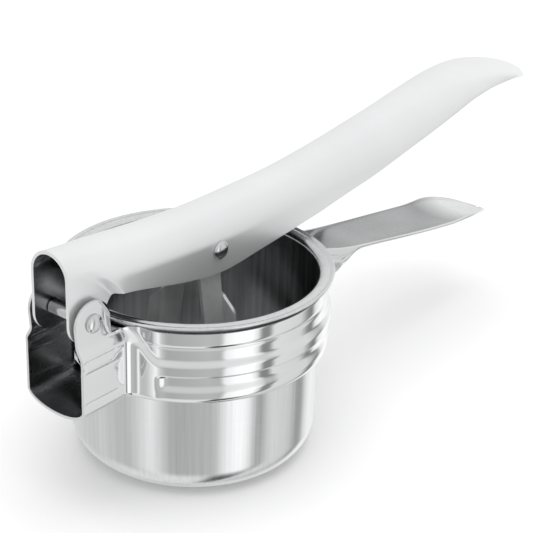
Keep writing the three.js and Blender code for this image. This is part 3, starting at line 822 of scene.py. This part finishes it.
# The value of first where share is 0, and of second where it is 1
def greyBlend(tree, share, first, second):
    node = tree.nodes.new("ShaderNodeMix")
    tree.links.new(share, node.inputs["Factor"])
    tree.links.new(first, node.inputs["A"])
    tree.links.new(second, node.inputs["B"])
    return node.outputs["Result"]


# A maths node whose inputs are numbers or other nodes' outputs
def maths(tree, operation, *values):
    node = tree.nodes.new("ShaderNodeMath")
    node.operation = operation
    for socket, value in zip(node.inputs, values):
        if isinstance(value, (int, float)):
            socket.default_value = value
        else:
            tree.links.new(value, socket)
    return node.outputs[0]


# A studio sky: brightness by height, blended with the profile round the horizon and with the low patch
def makeWorld(s):
    world = bpy.data.worlds.new("studio")
    bpy.context.scene.world = world
    world.use_nodes = True
    tree = world.node_tree
    sky = tree.nodes["Background"]
    sky.inputs["Color"].default_value = (1, 1, 1, 1)
    where, split = tree.nodes.new("ShaderNodeTexCoord"), tree.nodes.new("ShaderNodeSeparateXYZ")
    tree.links.new(where.outputs["Generated"], split.inputs[0])
    turn = maths(tree, "ARCTAN2", split.outputs["Y"], split.outputs["X"])
    turnShare = maths(tree, "FRACT", maths(tree, "ADD", maths(tree, "DIVIDE", turn, 2 * math.pi), 1.0))
    rise = maths(tree, "ARCSINE", split.outputs["Z"])
    riseShare = maths(tree, "ADD", maths(tree, "DIVIDE", rise, math.pi), 0.5)

    def roundRamp(stops):
        closed = stops + [[360, stops[0][1]]]
        return greyRamp(tree, turnShare, [[a / 360, value / s["brightest"]] for a, value in closed])

    def riseRamp(column, scale):
        return greyRamp(tree, riseShare, [[(row[0] + 90) / 180, row[column] / scale] for row in s["up"]])

    sides = greyBlend(tree, riseRamp(2, 1), riseRamp(1, s["brightest"]), roundRamp(s["round"]))
    level = greyBlend(tree, riseRamp(3, 1), sides, roundRamp(s["low"]))
    tree.links.new(maths(tree, "MULTIPLY", level, s["brightest"]), sky.inputs["Strength"])


def makeFloor(s):
    half = s["floorSize"] / 2
    corners = [(-half, -half, 0), (half, -half, 0), (half, half, 0), (-half, half, 0)]
    mesh = bpy.data.meshes.new("floor")
    mesh.from_pydata(corners, [], [(0, 1, 2, 3)])
    floor = bpy.data.objects.new("floor", mesh)
    bpy.context.scene.collection.objects.link(floor)
    paint = bpy.data.materials.new("paleFloor")
    paint.use_nodes = True
    shader = paint.node_tree.nodes["Principled BSDF"]
    shader.inputs["Base Color"].default_value = (*s["floorColour"], 1)
    shader.inputs["Roughness"].default_value = 0.9
    mesh.materials.append(paint)
    floor.visible_glossy = False  # the steel mirrors the low sky, not the floor


def makeKeyLight(s):
    data = bpy.data.lights.new("overhead", "AREA")
    data.energy, data.size = s["keyPower"], s["keySize"]
    lamp = bpy.data.objects.new("overhead", data)
    lamp.location = s["keyPlace"]
    lamp.visible_glossy = False
    bpy.context.scene.collection.objects.link(lamp)


# Azimuth 0 looks along +Y; back points from the aim to the lens, and roll tilts right towards up
def makeCamera(v):
    a, e, roll = (math.radians(v[key]) for key in ("azimuth", "elevation", "roll"))
    back = Vector((math.sin(a) * math.cos(e), -math.cos(a) * math.cos(e), math.sin(e)))
    right = Vector((math.cos(a), math.sin(a), 0))
    up = back.cross(right)
    tiltedRight = right * math.cos(roll) + up * math.sin(roll)
    tiltedUp = up * math.cos(roll) - right * math.sin(roll)
    data = bpy.data.cameras.new("camera")
    data.sensor_width, data.lens, data.clip_start = 36, v["focal"], 0.01
    camera = bpy.data.objects.new("camera", data)
    turn = Matrix((tiltedRight, tiltedUp, back)).transposed().to_4x4()
    camera.matrix_world = Matrix.Translation(Vector(v["aim"]) + back * v["distance"]) @ turn
    bpy.context.scene.collection.objects.link(camera)
    bpy.context.scene.camera = camera


makeWorld(studio)
makeFloor(studio)
makeKeyLight(studio)
makeCamera(view)
bpy.context.scene.view_settings.view_transform = "Standard"
print("studio made")
